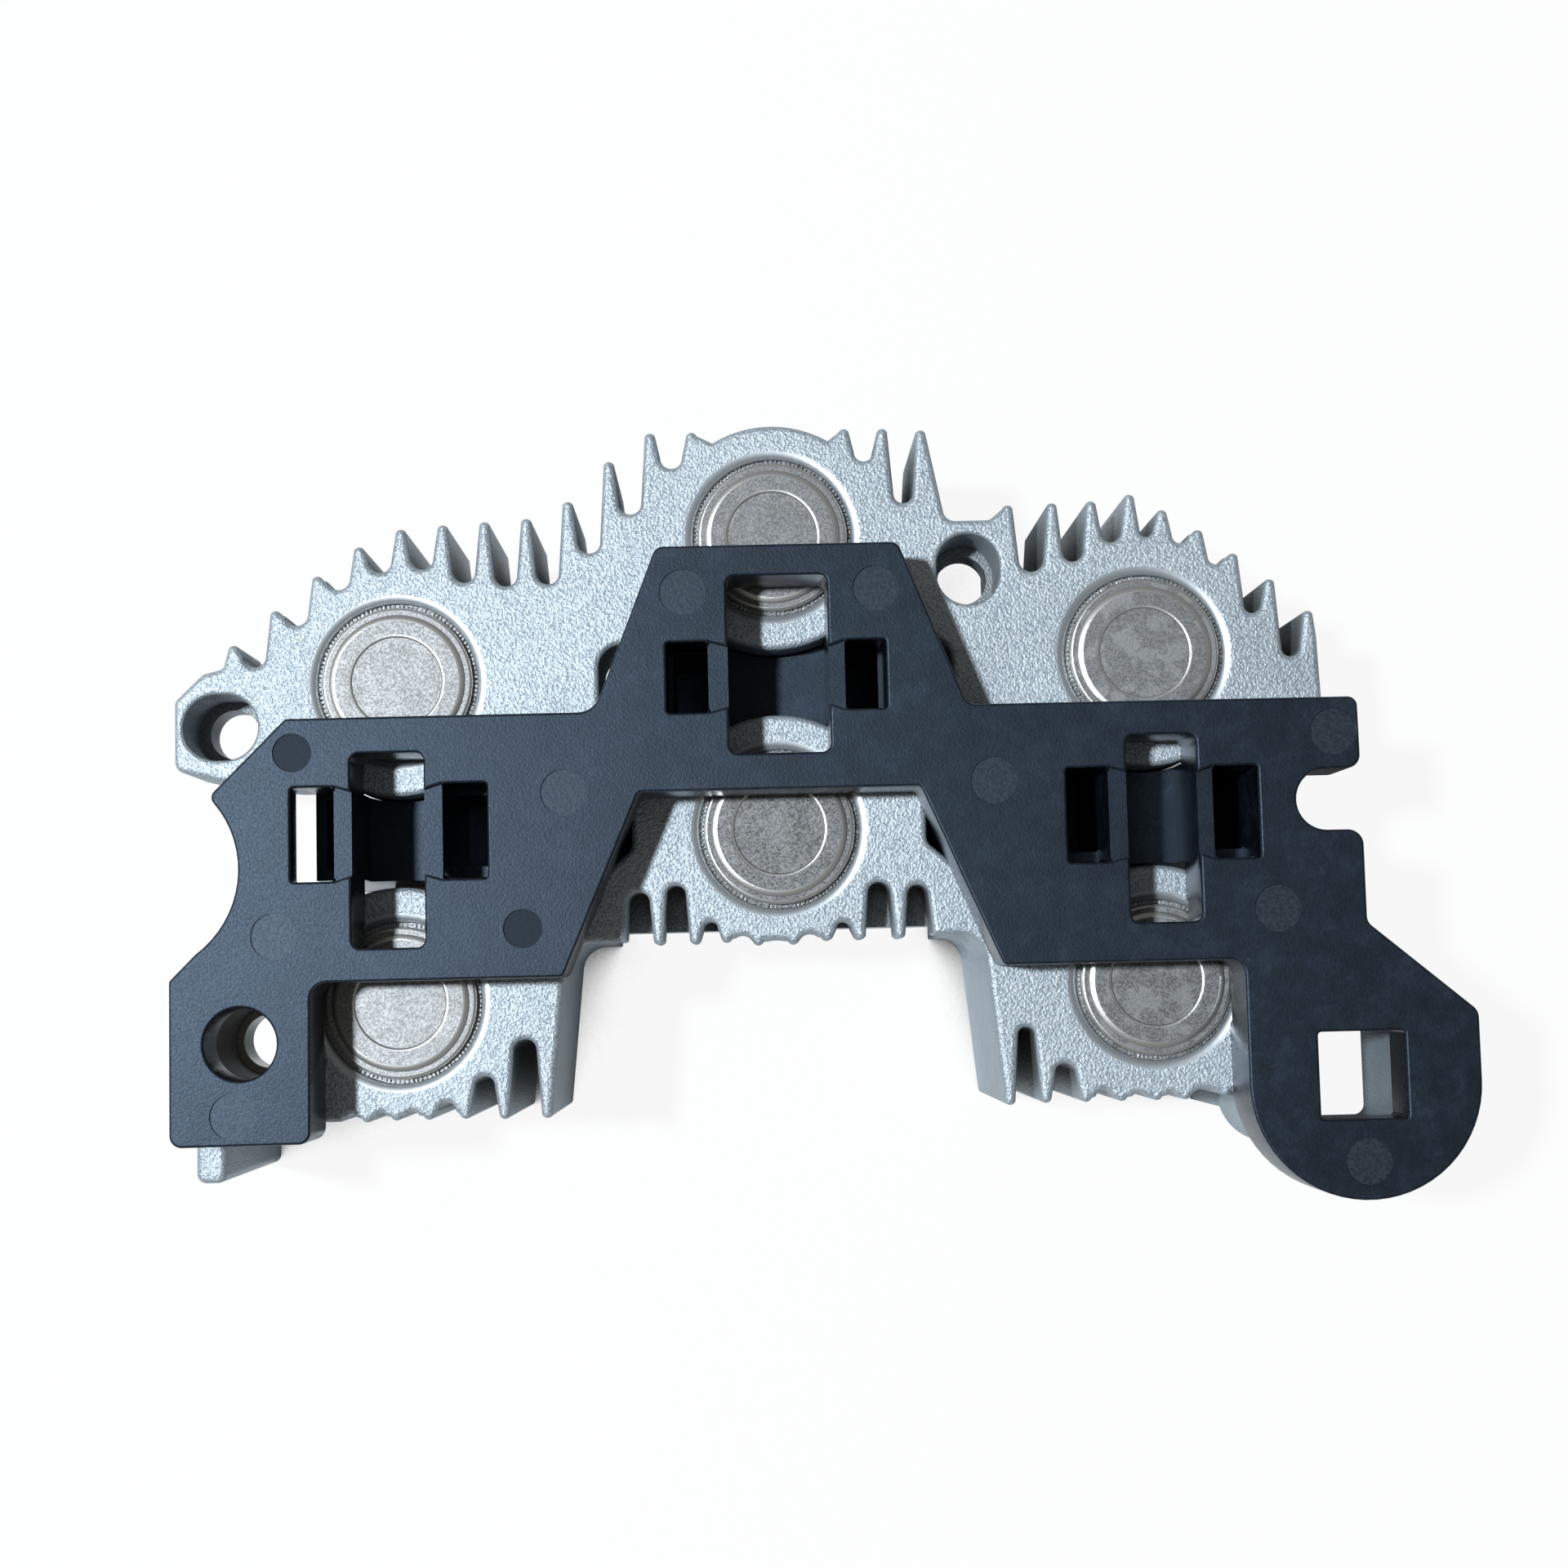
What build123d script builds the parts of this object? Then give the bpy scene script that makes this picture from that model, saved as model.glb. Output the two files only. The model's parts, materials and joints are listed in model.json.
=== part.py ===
from build123d import *
import math
import os

# Six-diode bridge rectifier of an alternator: two finned die-castings, a moulded terminal
# block over the gap between them, six pressed-in diodes and the strips that join their leads.
# X runs along its length, Y across it and Z out of the face into which the diodes are pressed.
# The origin is under the middle of the outline, at the ends of the longest fins.

# Levels
INNER_DEPTH = 23.4       # ends of the inner casting's fins to the face of both castings
OUTER_DEPTH = 16.2       # ends of the outer casting's fins to the same face
PLATE = 9.6              # plate of both castings, also at their lugs
STEP_DEPTH = 4.8         # depth of the short fins in the middle of the inner casting
BLOCK_RISE = 7.0         # front of the terminal block above the castings
BLOCK_WALL = 2.6         # front wall of the block
SKIRT = 1.8              # side wall of the block
WINDOW_WALL = 1.2        # walls round the block's large windows

# Diodes
PHASE_X = (-34.9, -2.8, 28.7)
OUTER_Y = (11.7, 23.5, 12.8)
INNER_Y = (-15.4, -1.5, -15.0)
CUP_R = 6.4
CUP_HEIGHT = 8.6
CUP_PROUD = 0.4          # base of a diode above the casting's face
CUP_BASE = 2.9
CUP_WALL = 1.1
RIM_IN = 0.95            # side of the cup to the bevelled step round its base
RIM_BEVEL = 0.2
RIM_FALL = 0.25
CUP_BEVEL = 0.2
DISC_IN = 2.57           # side of the cup to the shallow round recess in its base
MARK_DEPTH = 0.12
DIE_SIDE = 4.6
DIE_HEIGHT = 0.35
HEAD_R = 2.1             # nail head of a lead, soldered to the die
HEAD_HEIGHT = 0.8
LEAD_R = 0.75
POTTING_HEIGHT = 4.6
MOUTH_ROOM = 0.7         # wider mouth of a diode's bore, beyond the cup
MOUTH_DEPTH = 0.9
PRESS_GAP = 0.02         # drawn between pieces that are pressed or moulded together

# Castings
LOBE_R = 9.7             # metal round a diode where it faces the gap
LEAD_ROOM = 1.5          # free room round a cup behind its bore
LOBE_PROUD = 1.1         # lobes of the outer casting beyond its lower edge
WEB_DROP = 0.3           # webs of the inner casting below the top of its left lobe
END_DROP = 1.7           # ends of the inner casting below the same point
POCKET_RISE = 2.16       # hollows beside the upper middle lobe above its lowest point
DOME_FALL = 1.36         # first fins beside the dome below its top
FIN_TIP = 0.9
FIN_ROOT = 1.7
FIN_NOSE = 0.3           # height of the rounding of a fin's tip
SLOT_ROUND = 0.8         # most of a shallow slot's depth that its round floor takes
LEFT_PITCH = 3.57
LEFT_START = -48.8
LEFT_TIPS = (15.2, 18.1, 21.0, 23.45, 24.9, 25.2, 25.4, 25.6, 27.0, 30.4, 32.8, 32.8)
LEFT_FLOORS = (13.3, 16.8, 19.8, 21.2, 21.4, 20.2, 19.8, 19.9, 22.5, 25.8, 29.7)
TOP_FINS = ((3.56, 32.85), (6.86, 32.8), (10.16, 32.6))
TOP_FLOORS = (30.0, 26.3)
RIGHT_FINS = ((17.46, 25.9), (21.26, 26.0), (24.63, 26.1), (27.95, 26.6), (30.71, 25.2),
              (33.74, 23.4), (36.68, 21.3), (39.74, 19.0), (42.92, 16.2))
RIGHT_FLOORS = (20.1, 20.9, 22.5, 22.9, 22.3, 20.4, 16.1, 12.3)
RIGHT_END = ((43.95, 4.2), (43.6, 14.0))
BORE_SADDLE = ((15.9, 24.65), (12.1, 24.65))
LEFT_LUG = ((-49.7, 13.2), (-51.4, 12.8), (-53.8, 10.5), (-53.8, 4.6), (-49.7, 3.55), (-44.5, 3.1))
LEFT_TONGUE = (-24.0, -17.8)
RIGHT_TONGUE = (12.2, 18.0)
TONGUE_END = -3.4
TONGUE_ROOT = 14.2
OUTER_HOLLOW = ((-47, 11.5), (-39.5, 18.0), (-23, 17.2), (-12, 25.0), (9, 23.7), (11.6, 23.7), (11.6, 40),
                (16.6, 40), (16.6, 17.5), (23, 18.4), (36, 17.5), (41.5, 9.8))
LOWER_LEFT_FINS = ((-40.3, -25.2), (-37.85, -25.3), (-35.4, -25.2), (-32.68, -25.2),
                   (-29.61, -25.2), (-26.34, -25.3), (-22.79, -25.3))
LOWER_LEFT_FLOORS = (-24.6, -24.5, -24.5, -23.8, -21.7, -18.7)
MIDDLE_FINS = ((-16.35, -10.75), (-13.15, -11.05), (-10.1, -11.05), (-7.45, -10.95), (-4.75, -11.25),
               (-1.75, -11.25), (1.1, -11.0), (3.85, -11.0), (7.2, -11.0), (10.4, -10.75))
MIDDLE_FLOORS = (-6.6, -6.1, -9.2, -10.4, -10.85, -10.4, -9.45, -6.2, -6.5)
MIDDLE_ROOT = 1.5        # foot of the short fins
MIDDLE_EDGE = -9.9       # straight edge of the plate behind the short fins
MIDDLE_STEP = (-17.0, -16.2, 10.6, 11.3)
ARCH_WALLS = (-20.9, 14.2)
LOWER_RIGHT_FINS = ((16.08, -25.2), (19.11, -25.1), (22.48, -25.1), (25.5, -25.1),
                    (28.46, -25.1), (30.87, -25.1), (34.26, -24.8))
LOWER_RIGHT_FLOORS = (-18.7, -21.8, -24.1, -24.5, -24.5, -24.2)
LOWER_LUG = ((-49.55, -25.2), (-49.55, -30.0), (-52.05, -30.0), (-52.05, -14.6), (-49.42, -11.5))
LOWER_LUG_ARC = ((-47.6, -9.46), (-46.55, -7.4))
INNER_HOLLOW = ((-33.5, -22.6), (-30.2, -21.5), (-26.9, -19.3), (-24.6, -16.2), (-23.4, -13.5),
                (-23.4, -10.0), (-22.2, -8.5), (-17.4, -8.5), (-17.4, -12.0), (11.3, -12.0), (11.3, -8.5),
                (15.4, -8.5), (16.6, -10.0), (16.7, -13.5), (17.9, -16.2), (21.0, -19.3), (24.2, -21.6),
                (27.0, -22.3), (35.5, -22.3))
NECK = 12.5              # half width of the inner casting's neck
NECK_LEVEL = 1.9
SHOULDER = (7.0, 6.7)    # where the neck leaves its lobe, from the diode's centre
NECK_FOOT = (3.6, -2.9)  # where the neck widens: reach along X, and the level where it starts
BEYOND = 60              # further out than any edge of the part

# Fixing holes
LEFT_BORE = (-49.9, 8.2)
RIGHT_BORE = (13.9, 20.4)
LOWER_BORE = (-46.9, -18.4)
SCREW_R = 2.15
LEFT_RECESS = (6.3, 5.6)     # front opening of the left bore
RIGHT_RECESS = (5.4, 6.1)    # front opening of the right bore
RECESS_DEPTH = 6.2
BUSH_BORE_R = 2.95
BUSH_R = 4.0
BUSH_FLANGE_R = 5.6
BUSH_FLANGE = 2.2
SLEEVE_BORE_R = 2.3
SLEEVE_HEIGHT = 3.9

# Output lug
LUG = (44.3, -23.7)
LUG_R = 9.5
LUG_END_R = 7.4          # round end of the metal lug, behind the block
BOSS_R = 6.6
LUG_SHOULDER = (43.9, -11.6)
LUG_JOIN = -19.0         # where the metal lug's right edge meets its round end
LUG_LOW = -30.52         # where its round end meets its lower edge
LUG_CORNER = (35.3, -27.92)
LUG_CORNER_R = 4.5
BOSS_RISE = 2.1
SQUARE = (44.1, -23.1)
SQUARE_METAL = 8.3
SQUARE_BLOCK = 7.1
SQUARE_CORNER = 0.9

# Terminal block
BIG_WINDOWS = ((-37.8, -31.85, -10.9, 5.0), (-6.8, 1.5, 4.3, 19.0), (25.7, 31.5, -10.3, 5.1))
SMALL_WINDOWS = (((-42.7, -39.25, -5.4, 2.3), (-30.4, -26.7, -5.4, 2.4)),
                 ((-11.87, -8.44, 7.75, 13.6), (2.83, 6.24, 7.8, 13.5)),
                 ((20.7, 24.2, -5.3, 2.5), (32.8, 36.5, -5.2, 2.4)))
WINDOW_CORNER = 0.7
SLOT_CORNER = 0.3
BAR_RECESS = 0.5         # bars beside the large windows below the block's front
BAR_TAPER = 0.45         # a bar's recess is lower by this at its large window, above and below
NOTCH_TOP = (-49.4, 1.7)
NOTCH_SIDE = (-47.0, -4.2)
NOTCH_LOW = (-50.5, -11.07)
NOTCH_ROUND = 0.7
BLOCK_TOP = ((-43.1, 8.0), (-17.86, 8.0), (-12.56, 21.6), (7.43, 21.6), (12.83, 7.95), (44.95, 7.9),
             (45.0, 1.97), (39.6, 1.97), (39.6, -3.07), (45.0, -3.07), (45.0, -10.7))
LUG_SLOPE_END = -18.13
BLOCK_LOW = ((15.14, -13.5), (8.76, 1.3), (-14.32, 1.3), (-20.73, -13.6), (-41.2, -13.6), (-41.25, -26.55),
             (-52.62, -26.6), (-52.62, -13.2))
TOWER_X = ((-41.85, -25.3), (-12.4, 6.8), (19.1, 38.3))
TOWER_Y = ((-5.0, 2.85), (6.6, 14.4), (-5.0, 3.9))
TOWER_GAP = 0.25         # towers clear of the castings' lobes
TOWER_FLOOR = 19.9       # floor seen through a large window
POCKET_FLOOR = 11.0
POCKET_WALL = 0.9
RIB_LEVELS = (12.0, 18.4)    # ribs in the gaps between the neck and the two tongues
RIB_Y = (2.5, -2.7, -4.45)   # upper end, bend and lower end of a rib
RIB_CLEAR = 0.22
RIB_POST_Y = -1.0        # lower side of the post by which a rib joins the block
RIB_POST_IN = 0.3
WIDE_PEGS = ((-20.45, 1.44), (14.77, 1.63), (-10.44, 17.74), (5.51, 17.73), (-44.11, -9.77), (37.68, -9.41))
SLIM_PEGS = ((-23.94, -9.59), (-42.55, 5.17))
PLAIN_MARKS = ((-47.48, -24.2), (42.81, 5.03), (44.25, -30.07))
PEG_R = 1.2
PEG_GAP = 0.1
PEG_LENGTH = 4.0
PEG_BOSS_R = 1.9
MARK_R = 1.9
SLIM_MARK_R = 1.6
SINK_DEPTH = 0.15
DIODE_CLEAR = 0.9        # room over a diode's base, and 0.1 mm beyond its bore's mouth
MOUTH_CLEAR = 0.1

# Strips between the diodes' leads
STRIP_Z = 8.0
STRIP_HEIGHT = 0.8
STRIP_WIDTH = 5.0
EYE_R = 2.6
LEAD_GAP = 0.05
LEAD_STICK_OUT = 0.9

# Levels that follow from the sizes above
FACE_Z = INNER_DEPTH
OUTER_BACK_Z = FACE_Z - OUTER_DEPTH
SEAT_Z = FACE_Z - PLATE
FRONT_Z = FACE_Z + BLOCK_RISE
ROOF_Z = FRONT_Z - BLOCK_WALL
BASE_Z = FACE_Z + CUP_PROUD
DIE_Z = BASE_Z - CUP_BASE - DIE_HEIGHT
DISC_R = CUP_R - DISC_IN
MOUTH_R = CUP_R + MOUTH_ROOM
RIM_R = CUP_R - RIM_IN
RIM_Z = BASE_Z - RIM_FALL
LEAD_ROOM_R = CUP_R + LEAD_ROOM
WEB_LEVEL = INNER_Y[0] + LOBE_R - WEB_DROP
END_LEVEL = INNER_Y[0] + LOBE_R - END_DROP
PEGS = WIDE_PEGS + SLIM_PEGS
OUTER_DIODES = list(zip(PHASE_X, OUTER_Y))
INNER_DIODES = list(zip(PHASE_X, INNER_Y))
LEFT_FINS = [(LEFT_START + n * LEFT_PITCH, tip) for n, tip in enumerate(LEFT_TIPS)]


def shoulder(fin, side, up):
    """Point where the rounded tip of a fin meets its flank: side -1 is left, up 1 points to +Y."""
    return (fin[0] + side * FIN_TIP / 2, fin[1] - up * FIN_NOSE)


def fin_row(fins, floors, up, foot=FIN_ROOT):
    """Outline from the right flank of the first fin to the left flank of the last one."""
    for fin, after, floor in zip(fins, fins[1:], floors):
        depth = min(abs(fin[1] - floor), abs(after[1] - floor)) - FIN_NOSE
        start_x = fin[0] + foot / 2
        end_x = after[0] - foot / 2
        rise = min((end_x - start_x) / 2, SLOT_ROUND * depth)
        start = (start_x, floor + up * rise)
        end = (end_x, floor + up * rise)
        Line(shoulder(fin, 1, up), start)
        ThreePointArc(start, ((start_x + end_x) / 2, floor), end)
        Line(end, shoulder(after, -1, up))
    for fin in fins[1:-1]:
        nose(fin, up)


def nose(fin, up):
    """Rounded tip of one fin."""
    ThreePointArc(shoulder(fin, -1, up), fin, shoulder(fin, 1, up))


def on_circle(centre, radius, y, side):
    """Point of a circle at a height y, on its left (-1) or right (1)."""
    return (centre[0] + side * math.sqrt(radius**2 - (y - centre[1]) ** 2), y)


def lobe(centre, left_y, right_y, up):
    """Arc of metal round a diode, between the edges beside it."""
    top = (centre[0], centre[1] + up * LOBE_R)
    ThreePointArc(on_circle(centre, LOBE_R, left_y, -1), top, on_circle(centre, LOBE_R, right_y, 1))


def outer_outline():
    """Outline of the outer casting: fins above, lobes and two tongues below."""
    first, second, third = OUTER_DIODES
    left_level = first[1] - LOBE_R + LOBE_PROUD
    right_level = third[1] - LOBE_R + LOBE_PROUD
    pocket_y = second[1] - LOBE_R + POCKET_RISE
    valley_y = second[1] + LOBE_R - DOME_FALL
    dome_left = on_circle(second, LOBE_R, valley_y, -1)
    dome_right = on_circle(second, LOBE_R, valley_y, 1)
    FilletPolyline(
        shoulder(LEFT_FINS[0], -1, 1), *LEFT_LUG, on_circle(first, LOBE_R, left_level, -1),
        radius=(0.5, 1.2, 0.8, 1.0, 3.0, 3.0),
    )
    lobe(first, left_level, left_level, -1)
    FilletPolyline(
        on_circle(first, LOBE_R, left_level, 1), (LEFT_TONGUE[0], left_level), (LEFT_TONGUE[0], TONGUE_END),
        (LEFT_TONGUE[1], TONGUE_END), (LEFT_TONGUE[1], TONGUE_ROOT), on_circle(second, LOBE_R, pocket_y, -1),
        radius=(1.5, 1.0, 1.0, 2.0),
    )
    lobe(second, pocket_y, pocket_y, -1)
    FilletPolyline(
        on_circle(second, LOBE_R, pocket_y, 1), (RIGHT_TONGUE[0], TONGUE_ROOT), (RIGHT_TONGUE[0], TONGUE_END),
        (RIGHT_TONGUE[1], TONGUE_END), (RIGHT_TONGUE[1], right_level),
        on_circle(third, LOBE_R, right_level, -1),
        radius=(2.0, 1.0, 1.0, 1.5),
    )
    lobe(third, right_level, right_level, -1)
    FilletPolyline(
        on_circle(third, LOBE_R, right_level, 1), *RIGHT_END, shoulder(RIGHT_FINS[-1], 1, 1),
        radius=(1.0, 2.0),
    )
    nose(RIGHT_FINS[-1], 1)
    fin_row(RIGHT_FINS, RIGHT_FLOORS, 1)
    nose(RIGHT_FINS[0], 1)
    FilletPolyline(
        shoulder(RIGHT_FINS[0], -1, 1), *BORE_SADDLE, shoulder(TOP_FINS[-1], 1, 1), radius=(0.8, 1.0),
    )
    nose(TOP_FINS[-1], 1)
    fin_row(TOP_FINS, TOP_FLOORS, 1)
    nose(TOP_FINS[0], 1)
    Line(shoulder(TOP_FINS[0], -1, 1), dome_right)
    ThreePointArc(dome_left, (second[0], second[1] + LOBE_R), dome_right)
    Line(dome_left, shoulder(LEFT_FINS[-1], 1, 1))
    nose(LEFT_FINS[-1], 1)
    fin_row(LEFT_FINS, LEFT_FLOORS, 1)
    nose(LEFT_FINS[0], 1)


def inner_outline(short_fins):
    """Outline of the inner casting, with or without the short fins in its middle."""
    first, second, third = INNER_DIODES
    neck_left = second[0] - NECK
    neck_right = second[0] + NECK
    lobe_left = (second[0] - SHOULDER[0], second[1] + SHOULDER[1])
    lobe_right = (second[0] + SHOULDER[0], second[1] + SHOULDER[1])
    lug_right = on_circle(LUG, LUG_END_R, LUG_JOIN, 1)
    lug_low = on_circle(LUG, LUG_END_R, LUG_LOW, -1)
    last_fin = shoulder(LOWER_RIGHT_FINS[-1], 1, -1)
    left_wall = (ARCH_WALLS[0], MIDDLE_FINS[0][1])
    right_wall = (ARCH_WALLS[1], MIDDLE_FINS[-1][1])
    FilletPolyline(
        shoulder(LOWER_LEFT_FINS[0], 1, -1), (LOWER_LEFT_FINS[0][0] + FIN_TIP / 2, LOWER_LUG[0][1]),
        *LOWER_LUG,
        radius=(0.25, 1.0, 0.8, 0.8, 2.0),
    )
    ThreePointArc(LOWER_LUG[-1], *LOWER_LUG_ARC)
    Line(LOWER_LUG_ARC[-1], on_circle(first, LOBE_R, END_LEVEL, -1))
    lobe(first, END_LEVEL, WEB_LEVEL, 1)
    FilletPolyline(
        on_circle(first, LOBE_R, WEB_LEVEL, 1), (neck_left - NECK_FOOT[0], WEB_LEVEL),
        (neck_left, NECK_FOOT[1]), (neck_left, NECK_LEVEL), lobe_left,
        radius=(1.5, 1.0, 1.5),
    )
    ThreePointArc(lobe_left, (second[0], second[1] + LOBE_R), lobe_right)
    FilletPolyline(
        lobe_right, (neck_right, NECK_LEVEL), (neck_right, NECK_FOOT[1]),
        (neck_right + NECK_FOOT[0], WEB_LEVEL), on_circle(third, LOBE_R, WEB_LEVEL, -1),
        radius=(1.5, 1.0, 1.5),
    )
    lobe(third, WEB_LEVEL, END_LEVEL, 1)
    FilletPolyline(
        on_circle(third, LOBE_R, END_LEVEL, 1), (LUG_SHOULDER[0], END_LEVEL), LUG_SHOULDER, lug_right,
        radius=(1.0, 1.5),
    )
    ThreePointArc(lug_right, (LUG[0], LUG[1] - LUG_END_R), lug_low)
    FilletPolyline(
        lug_low, LUG_CORNER, (LUG_CORNER[0], last_fin[1]), last_fin, radius=(LUG_CORNER_R, 0.2),
    )
    nose(LOWER_RIGHT_FINS[-1], -1)
    fin_row(LOWER_RIGHT_FINS, LOWER_RIGHT_FLOORS, -1)
    nose(LOWER_RIGHT_FINS[0], -1)
    if short_fins:
        last_flank = MIDDLE_FINS[-1][0] - FIN_TIP / 2
        first_flank = MIDDLE_FINS[0][0] + FIN_TIP / 2
        FilletPolyline(
            shoulder(LOWER_RIGHT_FINS[0], -1, -1), right_wall, (last_flank, right_wall[1]),
            shoulder(MIDDLE_FINS[-1], -1, -1),
            radius=(2.2, 0.25),
        )
        fin_row(MIDDLE_FINS, MIDDLE_FLOORS, -1, MIDDLE_ROOT)
        FilletPolyline(
            shoulder(MIDDLE_FINS[0], 1, -1), (first_flank, left_wall[1]), left_wall,
            shoulder(LOWER_LEFT_FINS[-1], 1, -1),
            radius=(0.25, 2.2),
        )
    else:
        step_left, step_start, step_end, step_right = MIDDLE_STEP
        FilletPolyline(
            shoulder(LOWER_RIGHT_FINS[0], -1, -1), right_wall, (step_right, right_wall[1]),
            (step_end, MIDDLE_EDGE), (step_start, MIDDLE_EDGE), (step_left, left_wall[1]), left_wall,
            shoulder(LOWER_LEFT_FINS[-1], 1, -1),
            radius=(2.2, 0.4, 0.4, 0.4, 0.4, 2.2),
        )
    nose(LOWER_LEFT_FINS[-1], -1)
    fin_row(LOWER_LEFT_FINS, LOWER_LEFT_FLOORS, -1)


def block_outline():
    """Outline of the terminal block's front."""
    lug_right = (LUG[0] + LUG_R, LUG[1])
    lug_left = (LUG[0] - LUG_R, LUG[1])
    FilletPolyline(
        NOTCH_TOP, *BLOCK_TOP, (lug_right[0], LUG_SLOPE_END), lug_right,
        radius=(0.6, 2.0, 0.9, 0.9, 1.0, 0.8, 1.1, 2.5, 2.5, 1.3, 1.0, 1.2),
    )
    ThreePointArc(lug_right, (LUG[0], LUG[1] - LUG_R), lug_left)
    FilletPolyline(
        lug_left, (lug_left[0], BLOCK_LOW[0][1]), *BLOCK_LOW, NOTCH_LOW,
        radius=(1.3, 0.5, 0.5, 0.5, 0.5, 1.3, 1.0, 1.0, 0.4),
    )
    ThreePointArc(NOTCH_LOW, NOTCH_SIDE, NOTCH_TOP)


def window(box, corner, mode=Mode.ADD):
    """Rounded opening given by its left, right, lower and upper edges."""
    left, right, low, high = box
    with Locations(((left + right) / 2, (low + high) / 2)):
        RectangleRounded(right - left, high - low, corner, mode=mode)


def tower_limits(phase, offset):
    """Lower and upper edge of a tower at a distance along X from its diodes."""
    reach = math.sqrt((LOBE_R + TOWER_GAP) ** 2 - offset**2)
    low = max(TOWER_Y[phase][0], INNER_Y[phase] + reach)
    high = min(TOWER_Y[phase][1], OUTER_Y[phase] - reach)
    return low, high


def pocket_box(phase, box):
    """Pocket that a small window opens into, inside its tower's walls."""
    left = max(box[0], TOWER_X[phase][0] + POCKET_WALL)
    right = min(box[1], TOWER_X[phase][1] - POCKET_WALL)
    offset = min(abs(left - PHASE_X[phase]), abs(right - PHASE_X[phase]))
    low, high = tower_limits(phase, offset)
    return left, right, max(box[2], low + POCKET_WALL), min(box[3], high - POCKET_WALL)


def finish(part, name):
    """Name one finished piece and write it to its own file."""
    part.label = name
    export_step(part, f"parts/{name}.step")


# Outer casting: plate, fins and the rim behind their roots, open behind the diodes
with BuildPart() as negative_heat_sink:
    with BuildSketch(Plane.XY.offset(OUTER_BACK_Z)):
        with BuildLine():
            outer_outline()
        make_face()
    extrude(amount=OUTER_DEPTH)
    with BuildSketch(Plane.XY.offset(OUTER_BACK_Z)):
        with BuildLine():
            Polyline(
                (-BEYOND, -BEYOND), (-BEYOND, BEYOND), (OUTER_HOLLOW[0][0], BEYOND), *OUTER_HOLLOW,
                (OUTER_HOLLOW[-1][0], -BEYOND), close=True,
            )
        make_face()
        with Locations(*OUTER_DIODES):
            Circle(LEAD_ROOM_R)
    extrude(amount=OUTER_DEPTH - PLATE, mode=Mode.SUBTRACT)
    with Locations(*[(x, y, FACE_Z) for x, y in OUTER_DIODES]):
        CounterBoreHole(CUP_R + PRESS_GAP, MOUTH_R, MOUTH_DEPTH, PLATE)
    with Locations((*LEFT_BORE, FACE_Z), (*RIGHT_BORE, FACE_Z)):
        Hole(SCREW_R, PLATE)
    with BuildSketch(Plane.XY.offset(FACE_Z)):
        with Locations(LEFT_BORE):
            SlotOverall(*LEFT_RECESS)
        with Locations(RIGHT_BORE):
            SlotOverall(RIGHT_RECESS[1], RIGHT_RECESS[0], rotation=90)
    extrude(amount=-RECESS_DEPTH, mode=Mode.SUBTRACT)
    with Locations(*[(x, y, FACE_Z) for x, y in PEGS if y > 0]):
        Hole(PEG_R + PEG_GAP, PEG_LENGTH + PEG_GAP)
finish(negative_heat_sink.part, "negative_heat_sink")

# Inner casting: two finned lobes, a middle with short fins, the lower lug and the output lug
with BuildPart() as positive_heat_sink:
    with BuildSketch():
        with BuildLine():
            inner_outline(False)
        make_face()
    extrude(amount=FACE_Z - STEP_DEPTH)
    with BuildSketch(Plane.XY.offset(FACE_Z - STEP_DEPTH)):
        with BuildLine():
            inner_outline(True)
        make_face()
    extrude(amount=STEP_DEPTH)
    with BuildSketch():
        with BuildLine():
            Polyline(
                (-BEYOND, BEYOND), (-BEYOND, INNER_HOLLOW[0][1]), *INNER_HOLLOW,
                (INNER_HOLLOW[-1][0], -BEYOND), (BEYOND, -BEYOND), (BEYOND, BEYOND), close=True,
            )
        make_face()
        with Locations(*INNER_DIODES):
            Circle(LEAD_ROOM_R)
    extrude(amount=SEAT_Z, mode=Mode.SUBTRACT)
    with Locations(*[(x, y, FACE_Z) for x, y in INNER_DIODES]):
        CounterBoreHole(CUP_R + PRESS_GAP, MOUTH_R, MOUTH_DEPTH, PLATE)
    with Locations((*LOWER_BORE, FACE_Z)):
        Hole(BUSH_R + PRESS_GAP, PLATE)
    with BuildSketch(Plane.XY.offset(FACE_Z)):
        with Locations(LUG):
            Circle(BOSS_R)
    extrude(amount=BOSS_RISE)
    with BuildSketch(Plane.XY.offset(SEAT_Z)):
        with Locations(SQUARE):
            RectangleRounded(SQUARE_METAL, SQUARE_METAL, SQUARE_CORNER)
    extrude(amount=PLATE + BOSS_RISE, mode=Mode.SUBTRACT)
    with Locations(*[(x, y, FACE_Z) for x, y in PEGS if y < 0]):
        Hole(PEG_R + PEG_GAP, PEG_LENGTH + PEG_GAP)
finish(positive_heat_sink.part, "positive_heat_sink")

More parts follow.
